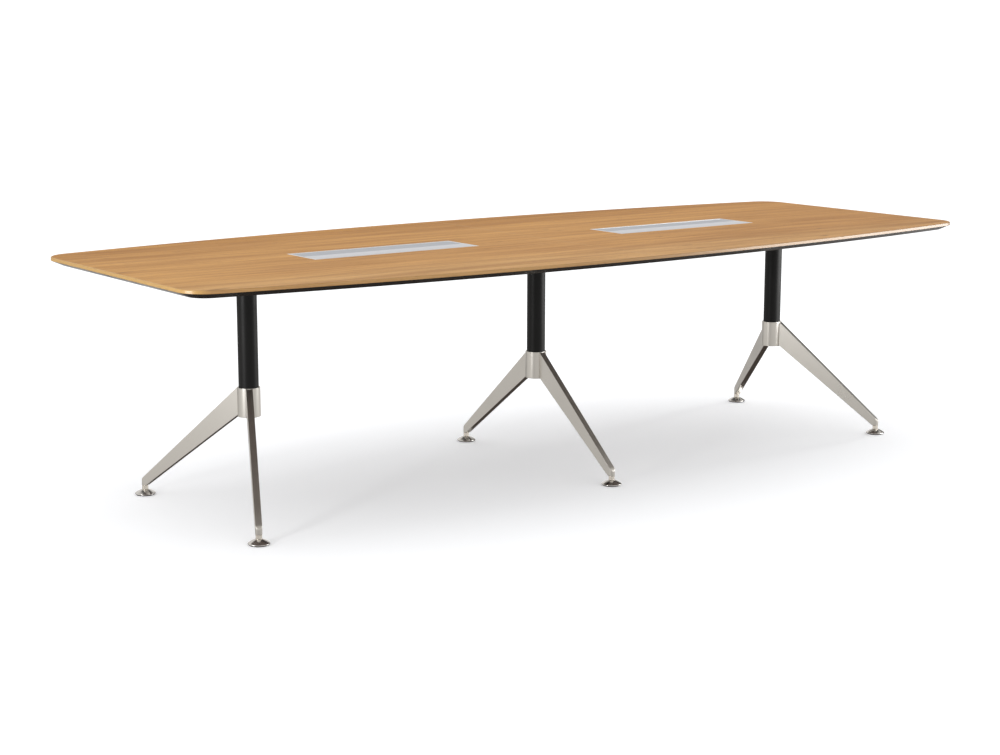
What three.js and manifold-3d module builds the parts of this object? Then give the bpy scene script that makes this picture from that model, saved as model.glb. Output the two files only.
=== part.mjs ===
// Boat-shaped conference table on three two-legged pedestals, with two lidded cable boxes in its top.
// Millimetres. The origin is on the floor under the middle of the table, +X is its length, +Z is up.
import * as THREE from 'three';
import { mergeVertices } from 'three/addons/utils/BufferGeometryUtils.js';
import Module from 'manifold-3d';

const wasm = await Module();
wasm.setup();

// Table top
const TABLE_HEIGHT = 750;
const TOP_LENGTH = 3000;
const TOP_WIDTH_MIDDLE = 1200;
const TOP_WIDTH_END = 950;
const TOP_CORNER_RADIUS = 90;
const FACE_BOARD_THICKNESS = 10;
const BASE_BOARD_THICKNESS = 16;
const BASE_BEVEL_WIDTH = 35;
const JOINT_PLATE_LENGTH = 160;
const JOINT_PLATE_WIDTH = 60;
const JOINT_PLATE_THICKNESS = 4;
const JOINT_PLATE_SETBACK = 230;

// Cable boxes
const BOX_END_SETBACK = 912;
const BEZEL_LENGTH = 596;
const BEZEL_WIDTH = 170;
const BEZEL_RIM_WIDTH = 10;
const BEZEL_POCKET_CLEARANCE = 0.5;
const BEZEL_LEDGE_DEPTH = 4;
const BEZEL_LEDGE_WIDTH = 120;
const TRAY_SHEET_THICKNESS = 1.5;
const TRAY_FLANGE_SETBACK = 1;
const TRAY_WALL_CLEARANCE = 1;
const TRAY_DEPTH = 68;
const TRAY_SLOT_LENGTH = 110;
const TRAY_SLOT_WIDTH = 60;
const TRAY_SLOT_SPACING = 380;
const LID_THICKNESS = 3;
const LID_BARREL_RADIUS = 3;
const LID_SIDE_CLEARANCE = 0.5;
const LID_END_CLEARANCE = 0.5;
const LID_REST_CLEARANCE = 0.2;
const LID_MIDDLE_GAP = 2;
const ROD_RADIUS = 1.5;
const ROD_BORE_CLEARANCE = 0.06;
const ROD_END_DEPTH = 5.5;
const ROD_BORE_DEPTH = 6;

// Pedestal plates and columns
const PEDESTAL_END_SETBACK = 428;
const PLATE_LENGTH = 240;
const PLATE_WIDTH = 160;
const PLATE_THICKNESS = 6;
const COLUMN_RADIUS = 30;
const COLUMN_WALL = 2;

// Pedestal collars
const COLLAR_RADIUS = 34.5;
const COLLAR_BOTTOM_HEIGHT = 287;
const COLLAR_LENGTH = 88;
const COLLAR_BORE_CLEARANCE = 0.4;
const COLLAR_SEAT_HEIGHT = 6;
const COLLAR_SEAT_RADIUS = 24;
const CAP_RADIUS = 27.6;
const CAP_THICKNESS = 2.5;
const CAP_SETBACK = 0.5;
const CAP_SIDE_CLEARANCE = 0.4;

// Legs
const LEG_REACH = 398;
const LEG_SPLAY_DEGREES = 26;
const LEG_THICKNESS = 20;
const LEG_TOE_HEIGHT = 48;
const LEG_HEEL_HEIGHT = 30;
const LEG_ROOT_TOP_SETBACK = 1.5;
const LEG_ROOT_BOTTOM_SETBACK = 1;
const LEG_COLLAR_GAP = 0.25;
const NECK_RADIUS = 9.5;
const NECK_SHOULDER_HEIGHT = 36;

// Leg bolts
const BOLT_HEIGHT = 320;
const BOLT_RADIUS = 5;
const BOLT_HOLE_CLEARANCE = 0.3;
const BOLT_HEAD_RADIUS = 8;
const BOLT_HEAD_LENGTH = 8;
const BOLT_HEAD_SEAT = 25.5;
const BOLT_TIP = 70;
const BOLT_HOLE_END = 72;

// Levelling feet
const FOOT_HEIGHT = 17;
const FOOT_NECK_GAP = 0.3;
const GLIDE_RADIUS = 32;
const GLIDE_SOLE_RADIUS = 31;
const GLIDE_RIM_HEIGHT = 4.5;
const GLIDE_CROWN_RADIUS = 6;
const PAD_RADIUS = 29;
const PAD_THICKNESS = 2.5;
const STEM_RADIUS = 5;
const STEM_LENGTH = 26;
const STEM_BORE_CLEARANCE = 0.4;
const STEM_BORE_DEPTH = 29;

// Smoothness of the round pieces
const ROUND_SEGMENTS = 32;
const SMALL_ROUND_SEGMENTS = 16;
const LONG_SIDE_SEGMENTS = 24;
const CORNER_SEGMENTS = 6;
const ARC_SEGMENTS = 6;

const veneer = new THREE.MeshStandardMaterial({ name: 'oak_veneer', color: 0xc39c6b, roughness: 0.5 });
const lacquer = new THREE.MeshStandardMaterial({ name: 'black_lacquer', color: 0x1c1a18, roughness: 0.5 });
const powder = new THREE.MeshStandardMaterial({ name: 'black_powder_coat', color: 0x202022, roughness: 0.5 });
const nickel = new THREE.MeshStandardMaterial({
  name: 'satin_nickel',
  color: 0xbdb8ae,
  metalness: 1,
  roughness: 0.35,
});
const chrome = new THREE.MeshStandardMaterial({
  name: 'chrome',
  color: 0xd8d8da,
  metalness: 1,
  roughness: 0.1,
});
const zinc = new THREE.MeshStandardMaterial({
  name: 'zinc_steel',
  color: 0xa8abae,
  metalness: 1,
  roughness: 0.4,
});
const rubber = new THREE.MeshStandardMaterial({ name: 'black_rubber', color: 0x1a1a1a, roughness: 0.8 });
const anodised = new THREE.MeshStandardMaterial({
  name: 'anodised_aluminium',
  color: 0xc4c6c9,
  metalness: 1,
  roughness: 0.4,
});
const plastic = new THREE.MeshStandardMaterial({ name: 'black_plastic', color: 0x222222, roughness: 0.6 });

// A closed surface becomes a solid that can be joined, cut or trimmed.
function solidOf(geometry) {
  const bare = geometry.clone();
  bare.deleteAttribute('normal');
  bare.deleteAttribute('uv');
  const welded = mergeVertices(bare, 0.0001);
  const vertProperties = new Float32Array(welded.attributes.position.array);
  const triVerts = new Uint32Array(welded.index.array);
  return new wasm.Manifold(new wasm.Mesh({ numProp: 3, vertProperties, triVerts }));
}

// A finished solid goes back to a surface.
function surfaceOf(solid) {
  const mesh = solid.getMesh();
  const geometry = new THREE.BufferGeometry();
  geometry.setAttribute('position', new THREE.BufferAttribute(new Float32Array(mesh.vertProperties), 3));
  geometry.setIndex(new THREE.BufferAttribute(new Uint32Array(mesh.triVerts), 1));
  geometry.computeVertexNormals();
  return geometry;
}

// A block that stands on z = 0, centred on the Z axis.
function block(length, width, height) {
  return new THREE.BoxGeometry(length, width, height).translate(0, 0, height / 2);
}

// A round bar that stands on z = 0 on the Z axis.
function bar(radius, height, segments) {
  const geometry = new THREE.CylinderGeometry(radius, radius, height, segments);
  return geometry.rotateX(Math.PI / 2).translate(0, 0, height / 2);
}

// A turned piece: radius and height pairs swept around the Z axis.
function turned(pairs, segments) {
  const points = pairs.map(([radius, height]) => new THREE.Vector2(radius, height));
  return new THREE.LatheGeometry(points, segments).rotateX(Math.PI / 2);
}

// A bar from one radius to another along the X axis, at a height.
function radialBar(radius, from, to, height) {
  const geometry = bar(radius, to - from, SMALL_ROUND_SEGMENTS);
  return geometry.rotateY(Math.PI / 2).translate(from, 0, height);
}

function piece(parent, name, geometry, material) {
  const mesh = new THREE.Mesh(geometry, material);
  mesh.name = name;
  parent.add(mesh);
  return mesh;
}

function group(parent, name) {
  const node = new THREE.Group();
  node.name = name;
  parent.add(node);
  return node;
}

// Plan of the top: two bowed long sides, straight ends and rounded corners, drawn in by an inset.
function boatOutline(inset) {
  const bow = (TOP_WIDTH_MIDDLE - TOP_WIDTH_END) / 2;
  const halfLength = TOP_LENGTH / 2;
  const sideRadius = (halfLength * halfLength + bow * bow) / (2 * bow);
  const sideCentre = TOP_WIDTH_MIDDLE / 2 - sideRadius;
  const cornerX = halfLength - TOP_CORNER_RADIUS;
  const cornerReach = sideRadius - TOP_CORNER_RADIUS;
  const cornerY = sideCentre + Math.sqrt(cornerReach * cornerReach - cornerX * cornerX);
  const sideAngle = Math.asin(cornerX / cornerReach);
  const cornerAngle = Math.PI / 2 - sideAngle;
  const quarter = [];
  for (let i = 0; i <= CORNER_SEGMENTS; i += 1) {
    const turn = (cornerAngle * i) / CORNER_SEGMENTS;
    const radius = TOP_CORNER_RADIUS - inset;
    quarter.push(new THREE.Vector2(cornerX + radius * Math.cos(turn), cornerY + radius * Math.sin(turn)));
  }
  const steps = LONG_SIDE_SEGMENTS / 2;
  for (let i = 1; i <= steps; i += 1) {
    const turn = sideAngle * (1 - i / steps);
    const radius = sideRadius - inset;
    quarter.push(new THREE.Vector2(radius * Math.sin(turn), sideCentre + radius * Math.cos(turn)));
  }
  const mirrored = quarter.slice(0, -1).reverse().map((point) => new THREE.Vector2(-point.x, point.y));
  const half = quarter.concat(mirrored);
  return half.concat(half.map((point) => new THREE.Vector2(-point.x, -point.y)));
}

// A board between a lower and an upper outline with the same number of points.
function bevelledBoard(lower, upper, thickness) {
  const count = lower.length;
  const positions = [];
  for (const point of lower) {
    positions.push(point.x, point.y, 0);
  }
  for (const point of upper) {
    positions.push(point.x, point.y, thickness);
  }
  const index = [];
  for (let i = 0; i < count; i += 1) {
    const next = (i + 1) % count;
    index.push(i, next, count + next, i, count + next, count + i);
  }
  for (const [a, b, c] of THREE.ShapeUtils.triangulateShape(lower, [])) {
    index.push(c, b, a);
  }
  for (const [a, b, c] of THREE.ShapeUtils.triangulateShape(upper, [])) {
    index.push(count + a, count + b, count + c);
  }
  const geometry = new THREE.BufferGeometry();
  geometry.setAttribute('position', new THREE.Float32BufferAttribute(positions, 3));
  geometry.setIndex(index);
  return geometry;
}

const table = new THREE.Group();
table.name = 'conference_table';

// Table top: two halves, each a thin veneered face board glued on a bevelled black base board
const topThickness = FACE_BOARD_THICKNESS + BASE_BOARD_THICKNESS;
const openingLength = BEZEL_LENGTH - 2 * BEZEL_RIM_WIDTH;
const openingWidth = BEZEL_WIDTH - 2 * BEZEL_RIM_WIDTH;
const boxOffset = TOP_LENGTH / 2 - BOX_END_SETBACK;
const halves = [
  ['left', -1],
  ['right', 1],
];
const top = group(table, 'top');
top.position.z = TABLE_HEIGHT - topThickness;

// One half of a board, up to the joint in the middle of the table, with a square cut for its cable box.
function boardGeometry(lower, upper, thickness, [cutLength, cutWidth], sign) {
  const board = solidOf(bevelledBoard(lower, upper, thickness)).trimByPlane([sign, 0, 0], 0);
  const cut = block(cutLength, cutWidth, 3 * thickness).translate(sign * boxOffset, 0, -thickness);
  return surfaceOf(board.subtract(solidOf(cut)));
}

const faceOutline = boatOutline(0);
const baseOutline = boatOutline(BASE_BEVEL_WIDTH);
const pocket = [BEZEL_LENGTH + 2 * BEZEL_POCKET_CLEARANCE, BEZEL_WIDTH + 2 * BEZEL_POCKET_CLEARANCE];
const opening = [openingLength, openingWidth];
for (const [side, sign] of halves) {
  const faceGeometry = boardGeometry(faceOutline, faceOutline, FACE_BOARD_THICKNESS, pocket, sign);
  const faceBoard = piece(top, `${side}_face_board`, faceGeometry, veneer);
  faceBoard.position.z = BASE_BOARD_THICKNESS;
  const baseGeometry = boardGeometry(baseOutline, faceOutline, BASE_BOARD_THICKNESS, opening, sign);
  piece(top, `${side}_base_board`, baseGeometry, lacquer);
}

// Two flat plates are screwed across the joint from below.
const jointPlateOffset = TOP_WIDTH_MIDDLE / 2 - JOINT_PLATE_SETBACK;
for (const [place, sign] of [['front', -1], ['back', 1]]) {
  const plateGeometry = block(JOINT_PLATE_LENGTH, JOINT_PLATE_WIDTH, JOINT_PLATE_THICKNESS);
  const jointPlate = piece(top, `${place}_joint_plate`, plateGeometry, zinc);
  jointPlate.position.set(0, sign * jointPlateOffset, -JOINT_PLATE_THICKNESS);
}

// Cable box: a sheet tray hangs by its flange in the top, under a flush frame with two hinged lids
const bezelHeight = FACE_BOARD_THICKNESS - TRAY_SHEET_THICKNESS;
const lidAxisY = openingWidth / 2 - LID_SIDE_CLEARANCE - LID_BARREL_RADIUS;
const lidAxisZ = -LID_BARREL_RADIUS;
const lidLength = openingLength - 2 * LID_END_CLEARANCE;
const rodBoreRadius = ROD_RADIUS + ROD_BORE_CLEARANCE;
const rodLength = openingLength + 2 * ROD_END_DEPTH;
const rodBoreLength = openingLength + 2 * ROD_BORE_DEPTH;

function bezelGeometry() {
  let frame = solidOf(block(BEZEL_LENGTH, BEZEL_WIDTH, bezelHeight));
  const cut = block(openingLength, openingWidth, 3 * bezelHeight).translate(0, 0, -bezelHeight);
  frame = frame.subtract(solidOf(cut));
  const ledgeHeight = bezelHeight - LID_THICKNESS - LID_REST_CLEARANCE;
  for (const side of [-1, 1]) {
    const ledge = block(BEZEL_LEDGE_DEPTH + BEZEL_RIM_WIDTH / 2, BEZEL_LEDGE_WIDTH, ledgeHeight);
    ledge.translate(side * (openingLength / 2 - (BEZEL_LEDGE_DEPTH - BEZEL_RIM_WIDTH / 2) / 2), 0, 0);
    frame = frame.add(solidOf(ledge));
  }
  for (const side of [-1, 1]) {
    const bore = bar(rodBoreRadius, rodBoreLength, SMALL_ROUND_SEGMENTS);
    bore.rotateY(Math.PI / 2).translate(-rodBoreLength / 2, side * lidAxisY, bezelHeight + lidAxisZ);
    frame = frame.subtract(solidOf(bore));
  }
  return surfaceOf(frame);
}

function trayGeometry() {
  const flangeSetback = 2 * TRAY_FLANGE_SETBACK;
  const outerLength = openingLength - 2 * TRAY_WALL_CLEARANCE;
  const outerWidth = openingWidth - 2 * TRAY_WALL_CLEARANCE;
  const sheet = TRAY_SHEET_THICKNESS;
  const flange = block(BEZEL_LENGTH - flangeSetback, BEZEL_WIDTH - flangeSetback, sheet);
  let tray = solidOf(flange.translate(0, 0, TRAY_DEPTH - sheet));
  tray = tray.add(solidOf(block(outerLength, outerWidth, TRAY_DEPTH)));
  const inside = block(outerLength - 2 * sheet, outerWidth - 2 * sheet, TRAY_DEPTH).translate(0, 0, sheet);
  tray = tray.subtract(solidOf(inside));
  for (const side of [-1, 1]) {
    const slot = block(TRAY_SLOT_LENGTH, TRAY_SLOT_WIDTH, 4 * sheet);
    slot.translate((side * TRAY_SLOT_SPACING) / 2, 0, -sheet);
    tray = tray.subtract(solidOf(slot));
  }
  return surfaceOf(tray);
}

// The lid is one extrusion: a plate with a rolled barrel along its outer edge, bored for the rod.
function lidGeometry() {
  const shape = new THREE.Shape();
  shape.moveTo(-LID_MIDDLE_GAP / 2, -LID_THICKNESS);
  shape.lineTo(-LID_MIDDLE_GAP / 2, 0);
  shape.lineTo(-lidAxisY, 0);
  shape.absarc(-lidAxisY, lidAxisZ, LID_BARREL_RADIUS, Math.PI / 2, 2 * Math.PI, false);
  shape.closePath();
  const bore = new THREE.Path();
  bore.absarc(-lidAxisY, lidAxisZ, rodBoreRadius, 0, 2 * Math.PI, true);
  shape.holes.push(bore);
  const options = { depth: lidLength, bevelEnabled: false, curveSegments: SMALL_ROUND_SEGMENTS / 2 };
  const geometry = new THREE.ExtrudeGeometry(shape, options);
  return geometry.rotateX(Math.PI / 2).rotateZ(Math.PI / 2).translate(-lidLength / 2, 0, 0);
}

for (const [side, sign] of halves) {
  const box = group(top, `${side}_box`);
  box.position.set(sign * boxOffset, 0, topThickness);
  const bezel = piece(box, `${side}_box_bezel`, bezelGeometry(), anodised);
  bezel.position.z = -bezelHeight;
  const tray = piece(box, `${side}_box_tray`, trayGeometry(), powder);
  tray.position.z = -bezelHeight - TRAY_DEPTH;
  for (const [place, turn] of [['front', 0], ['back', Math.PI]]) {
    const lidGroup = group(box, `${side}_box_${place}`);
    lidGroup.rotation.z = turn;
    piece(lidGroup, `${side}_box_lid_${place}`, lidGeometry(), anodised);
    const rodGeometry = bar(ROD_RADIUS, rodLength, SMALL_ROUND_SEGMENTS).rotateY(Math.PI / 2);
    rodGeometry.translate(-rodLength / 2, 0, 0);
    const rod = piece(lidGroup, `${side}_box_rod_${place}`, rodGeometry, zinc);
    rod.position.set(0, -lidAxisY, lidAxisZ);
  }
}

// Pedestal: a plated column plugged into a collar that carries two bolted legs on levelling feet
const plateTop = TABLE_HEIGHT - topThickness;
const columnTop = plateTop - PLATE_THICKNESS;
const columnBottom = COLLAR_BOTTOM_HEIGHT + COLLAR_SEAT_HEIGHT;
const columnLength = columnTop - columnBottom;
const boltHoleRadius = BOLT_RADIUS + BOLT_HOLE_CLEARANCE;

function drilled(geometry, directions, height) {
  let solid = solidOf(geometry);
  for (const direction of directions) {
    const drill = radialBar(boltHoleRadius, COLLAR_SEAT_RADIUS, 2 * COLLAR_RADIUS, height);
    solid = solid.subtract(solidOf(drill.rotateZ(direction)));
  }
  return surfaceOf(solid);
}

function columnGeometry(directions) {
  const inner = COLUMN_RADIUS - COLUMN_WALL;
  const profile = [
    [inner, 0],
    [COLUMN_RADIUS, 0],
    [COLUMN_RADIUS, columnLength],
    [inner, columnLength],
    [inner, 0],
  ];
  return drilled(turned(profile, ROUND_SEGMENTS), directions, BOLT_HEIGHT - columnBottom);
}

function collarGeometry(directions) {
  const bore = COLUMN_RADIUS + COLLAR_BORE_CLEARANCE;
  const capSeat = CAP_SETBACK + CAP_THICKNESS;
  const capBore = CAP_RADIUS + CAP_SIDE_CLEARANCE;
  const profile = [
    [capBore, 0],
    [COLLAR_RADIUS, 0],
    [COLLAR_RADIUS, COLLAR_LENGTH],
    [bore, COLLAR_LENGTH],
    [bore, COLLAR_SEAT_HEIGHT],
    [COLLAR_SEAT_RADIUS, COLLAR_SEAT_HEIGHT],
    [COLLAR_SEAT_RADIUS, capSeat],
    [capBore, capSeat],
    [capBore, 0],
  ];
  return drilled(turned(profile, ROUND_SEGMENTS), directions, BOLT_HEIGHT - COLLAR_BOTTOM_HEIGHT);
}

// The leg lies along +X: a tapered blade with a rounded toe, and a round neck bored for the foot.
function legGeometry() {
  const half = LEG_THICKNESS / 2;
  const toe = LEG_REACH + half;
  const heel = LEG_REACH - NECK_RADIUS;
  const rootTop = COLLAR_BOTTOM_HEIGHT + COLLAR_LENGTH - LEG_ROOT_TOP_SETBACK;
  const rootBottom = COLLAR_BOTTOM_HEIGHT + LEG_ROOT_BOTTOM_SETBACK;
  const upperSlope = (rootTop - LEG_TOE_HEIGHT) / (toe - COLLAR_RADIUS);
  const lowerSlope = (rootBottom - LEG_HEEL_HEIGHT) / (heel - COLLAR_RADIUS);
  const root = COLUMN_RADIUS;
  const side = new THREE.Shape();
  side.moveTo(root, rootTop + upperSlope * (COLLAR_RADIUS - root));
  side.lineTo(root, rootBottom + lowerSlope * (COLLAR_RADIUS - root));
  side.lineTo(heel, LEG_HEEL_HEIGHT);
  side.lineTo(toe, LEG_HEEL_HEIGHT);
  side.lineTo(toe, LEG_TOE_HEIGHT);
  side.closePath();
  const sideGeometry = new THREE.ExtrudeGeometry(side, { depth: 2 * LEG_THICKNESS, bevelEnabled: false });
  let leg = solidOf(sideGeometry.rotateX(Math.PI / 2).translate(0, LEG_THICKNESS, 0));
  const plan = new THREE.Shape();
  plan.moveTo(root / 2, -half);
  plan.lineTo(LEG_REACH, -half);
  plan.absarc(LEG_REACH, 0, half, -Math.PI / 2, Math.PI / 2, false);
  plan.lineTo(root / 2, half);
  plan.closePath();
  const planOptions = { depth: TABLE_HEIGHT, bevelEnabled: false, curveSegments: 2 * ARC_SEGMENTS };
  leg = leg.intersect(solidOf(new THREE.ExtrudeGeometry(plan, planOptions)));
  const neckBottom = FOOT_HEIGHT + FOOT_NECK_GAP;
  const neck = bar(NECK_RADIUS, NECK_SHOULDER_HEIGHT - neckBottom, SMALL_ROUND_SEGMENTS);
  leg = leg.add(solidOf(neck.translate(LEG_REACH, 0, neckBottom)));
  const seat = bar(COLLAR_RADIUS + LEG_COLLAR_GAP, TABLE_HEIGHT, 2 * ROUND_SEGMENTS);
  leg = leg.subtract(solidOf(seat));
  const stemBore = bar(STEM_RADIUS + STEM_BORE_CLEARANCE, STEM_BORE_DEPTH, SMALL_ROUND_SEGMENTS);
  leg = leg.subtract(solidOf(stemBore.translate(LEG_REACH, 0, FOOT_HEIGHT)));
  leg = leg.subtract(solidOf(radialBar(boltHoleRadius, root, BOLT_HOLE_END, BOLT_HEIGHT)));
  return surfaceOf(leg);
}

function boltGeometry() {
  const profile = [
    [0, 0],
    [BOLT_HEAD_RADIUS, 0],
    [BOLT_HEAD_RADIUS, BOLT_HEAD_LENGTH],
    [BOLT_RADIUS, BOLT_HEAD_LENGTH],
    [BOLT_RADIUS, BOLT_HEAD_LENGTH + BOLT_TIP - BOLT_HEAD_SEAT],
    [0, BOLT_HEAD_LENGTH + BOLT_TIP - BOLT_HEAD_SEAT],
  ];
  const geometry = turned(profile, SMALL_ROUND_SEGMENTS).rotateY(Math.PI / 2);
  return geometry.translate(BOLT_HEAD_SEAT - BOLT_HEAD_LENGTH, 0, BOLT_HEIGHT);
}

// The glide is a dome: a quarter of an ellipse from its rim up to a flat crown that carries the stem.
function glideGeometry() {
  const profile = [
    [0, PAD_THICKNESS],
    [GLIDE_SOLE_RADIUS, PAD_THICKNESS],
    [GLIDE_RADIUS, (PAD_THICKNESS + GLIDE_RIM_HEIGHT) / 2],
  ];
  const domeWidth = GLIDE_RADIUS - GLIDE_CROWN_RADIUS;
  const domeHeight = FOOT_HEIGHT - GLIDE_RIM_HEIGHT;
  for (let i = 0; i <= ARC_SEGMENTS; i += 1) {
    const turn = (Math.PI * i) / (2 * ARC_SEGMENTS);
    const radius = GLIDE_CROWN_RADIUS + domeWidth * Math.cos(turn);
    profile.push([radius, GLIDE_RIM_HEIGHT + domeHeight * Math.sin(turn)]);
  }
  profile.push([0, FOOT_HEIGHT]);
  return turned(profile, ROUND_SEGMENTS);
}

const pedestalOffset = TOP_LENGTH / 2 - PEDESTAL_END_SETBACK;
const splay = THREE.MathUtils.degToRad(LEG_SPLAY_DEGREES);
const backward = Math.PI / 2;
const pedestals = [
  ['left', -pedestalOffset, splay],
  ['middle', 0, 0],
  ['right', pedestalOffset, -splay],
];

for (const [side, x, lean] of pedestals) {
  const pedestal = group(table, `${side}_pedestal`);
  pedestal.position.x = x;
  const directions = [-backward - lean, backward + lean];
  const plateGeometry = block(PLATE_LENGTH, PLATE_WIDTH, PLATE_THICKNESS);
  const plate = piece(pedestal, `${side}_top_plate`, plateGeometry, powder);
  plate.position.z = columnTop;
  const column = piece(pedestal, `${side}_column`, columnGeometry(directions), powder);
  column.position.z = columnBottom;
  const collar = piece(pedestal, `${side}_collar`, collarGeometry(directions), nickel);
  collar.position.z = COLLAR_BOTTOM_HEIGHT;
  const cap = piece(pedestal, `${side}_end_cap`, bar(CAP_RADIUS, CAP_THICKNESS, ROUND_SEGMENTS), plastic);
  cap.position.z = COLLAR_BOTTOM_HEIGHT + CAP_SETBACK;
  for (const [place, direction] of [['front', directions[0]], ['back', directions[1]]]) {
    const limb = group(pedestal, `${side}_${place}_limb`);
    limb.rotation.z = direction;
    piece(limb, `${side}_leg_${place}`, legGeometry(), nickel);
    piece(limb, `${side}_leg_bolt_${place}`, boltGeometry(), zinc);
    const foot = group(limb, `${side}_${place}_foot`);
    foot.position.x = LEG_REACH;
    const stemGeometry = bar(STEM_RADIUS, STEM_LENGTH, SMALL_ROUND_SEGMENTS);
    const stem = piece(foot, `${side}_stem_${place}`, stemGeometry, zinc);
    stem.position.z = FOOT_HEIGHT;
    piece(foot, `${side}_glide_${place}`, glideGeometry(), chrome);
    piece(foot, `${side}_pad_${place}`, bar(PAD_RADIUS, PAD_THICKNESS, ROUND_SEGMENTS), rubber);
  }
}

export default table;
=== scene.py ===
"""A boat-shaped oak conference table on three two-legged pedestals, set up as a studio picture."""

import bmesh
import bpy
import numpy as np
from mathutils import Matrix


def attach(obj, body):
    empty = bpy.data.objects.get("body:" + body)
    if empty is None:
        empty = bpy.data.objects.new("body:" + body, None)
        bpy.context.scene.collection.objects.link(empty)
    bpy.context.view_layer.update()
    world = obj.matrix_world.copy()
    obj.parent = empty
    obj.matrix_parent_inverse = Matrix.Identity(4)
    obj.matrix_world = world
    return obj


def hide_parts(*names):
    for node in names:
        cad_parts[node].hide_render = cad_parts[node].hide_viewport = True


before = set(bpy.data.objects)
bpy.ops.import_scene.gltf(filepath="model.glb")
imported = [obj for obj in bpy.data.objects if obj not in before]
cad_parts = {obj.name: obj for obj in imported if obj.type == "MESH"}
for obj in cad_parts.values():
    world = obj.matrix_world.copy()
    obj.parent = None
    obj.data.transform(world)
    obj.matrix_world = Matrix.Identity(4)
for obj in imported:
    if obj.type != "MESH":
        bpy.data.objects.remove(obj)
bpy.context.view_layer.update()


# Face boards: each half of the top is 10 mm of board, faced with straight-grained oak veneer. Its edges are
# lipped with solid oak and sanded round. The halves meet in the middle, and each has a pocket for a cable
# box.
MM = 0.001
HALF_LENGTH, HALF_WIDTH, HALF_END_WIDTH = 1500 * MM, 600 * MM, 475 * MM
CORNER_RADIUS = 90 * MM
TOP_HEIGHT, GLUE_HEIGHT = 750 * MM, 740 * MM
LIPPING_ROUND, LIPPING_ARRIS = 2.5 * MM, 0.5 * MM
LIPPING_WIDTH = 3 * MM
JOINT_SHARE = 0.12
BOX_X = 588 * MM
POCKET_HALF = 298.5 * MM, 85.5 * MM
TRAY_HOLE_HALF = 288 * MM, 75 * MM


def flatten_shading(mesh, crease):
    """Shades flat faces flat up to their rounded edges. At a face's corner the shading normal is the sum of
    the normals of the faces round it that bend away by less than the crease angle, each weighted by its
    area."""
    corners, faces = len(mesh.loops), len(mesh.polygons)
    point, size = np.empty(corners, int), np.empty(faces, int)
    area, normal = np.empty(faces), np.empty(faces * 3)
    mesh.loops.foreach_get("vertex_index", point)
    mesh.polygons.foreach_get("loop_total", size)
    mesh.polygons.foreach_get("area", area)
    mesh.polygons.foreach_get("normal", normal)
    face = np.repeat(np.arange(faces), size)
    order = np.argsort(point, kind="stable")
    point, face = point[order], face[order]
    normal = normal.reshape(-1, 3)[face]
    pull = normal * area[face][:, None]
    total = pull.copy()
    for step in range(1, np.bincount(point).max()):
        likeness = (normal[step:] * normal[:-step]).sum(1)
        joined = (point[step:] == point[:-step]) & (likeness > np.cos(np.radians(crease)))
        total[step:] += pull[:-step] * joined[:, None]
        total[:-step] += pull[step:] * joined[:, None]
    shading = np.empty_like(total)
    shading[order] = total / np.linalg.norm(total, axis=1)[:, None]
    mesh.normals_split_custom_set(shading.tolist())


def skin(name, sheets, finishes, crease=32, flat=True):
    """One mesh made of sheets. A sheet is an array of points in rows and columns, an array of UV pairs to
    match it and the number of its finish, and each cell between four neighbouring points is a face. Points
    in the same place are joined, faces are turned outwards, and edges that bend by more than the crease
    angle stay sharp."""
    grids = [np.arange(p[..., 0].size).reshape(p.shape[:2]) for p, _, _ in sheets]
    starts = np.cumsum([0] + [g.size for g in grids])
    cells = [np.stack([g[:-1, :-1], g[1:, :-1], g[1:, 1:], g[:-1, 1:]], -1).reshape(-1, 4) + s
             for g, s in zip(grids, starts)]
    faces = np.concatenate(cells)
    points = np.concatenate([p.reshape(-1, 3) for p, _, _ in sheets])
    uv = np.concatenate([u.reshape(-1, 2) for _, u, _ in sheets])
    mesh = bpy.data.meshes.new(name)
    mesh.from_pydata(points.tolist(), [], faces.tolist())
    mesh.uv_layers.new(name="along").data.foreach_set("uv", uv[faces].ravel())
    numbers = np.concatenate([np.full(len(c), f) for c, (_, _, f) in zip(cells, sheets)])
    mesh.polygons.foreach_set("material_index", numbers)
    shape = bmesh.new()
    shape.from_mesh(mesh)
    bmesh.ops.remove_doubles(shape, verts=shape.verts, dist=2e-6)
    bmesh.ops.dissolve_degenerate(shape, edges=shape.edges, dist=1e-7)
    bmesh.ops.recalc_face_normals(shape, faces=shape.faces)
    shape.to_mesh(mesh)
    shape.free()
    mesh.shade_smooth()
    mesh.set_sharp_from_angle(angle=np.radians(crease))
    if flat:
        flatten_shading(mesh, crease)
    for finish in finishes:
        mesh.materials.append(finish)
    piece = bpy.data.objects.new(name, mesh)
    bpy.context.scene.collection.objects.link(piece)
    return piece


def fit(piece, body, slot, *nodes):
    """Puts a piece on its body in the place of the CAD nodes that it stands for. The slot is not used."""
    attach(piece, body)
    if nodes:
        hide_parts(*nodes)


def srgb(code):
    """The linear colour of an sRGB hex code."""
    part = np.array([int(code[i:i + 2], 16) for i in (1, 3, 5)]) / 255
    return (*np.where(part <= 0.04045, part / 12.92, ((part + 0.055) / 1.055) ** 2.4).tolist(), 1.0)


def node(finish, kind, sockets, output=0, **settings):
    """Adds a node with its settings. A socket, by name or number, gets a value or another node's output."""
    made = finish.node_tree.nodes.new("ShaderNode" + kind)
    for name, value in settings.items():
        setattr(made, name, value)
    for socket, value in sockets.items():
        if isinstance(value, bpy.types.NodeSocket):
            finish.node_tree.links.new(value, made.inputs[socket])
        else:
            made.inputs[socket].default_value = value
    return made.outputs[output] if made.outputs else None


def blank(name):
    """A material with an empty node tree."""
    finish = bpy.data.materials.new(name)
    finish.use_nodes = True
    finish.node_tree.nodes.clear()
    return finish


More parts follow.
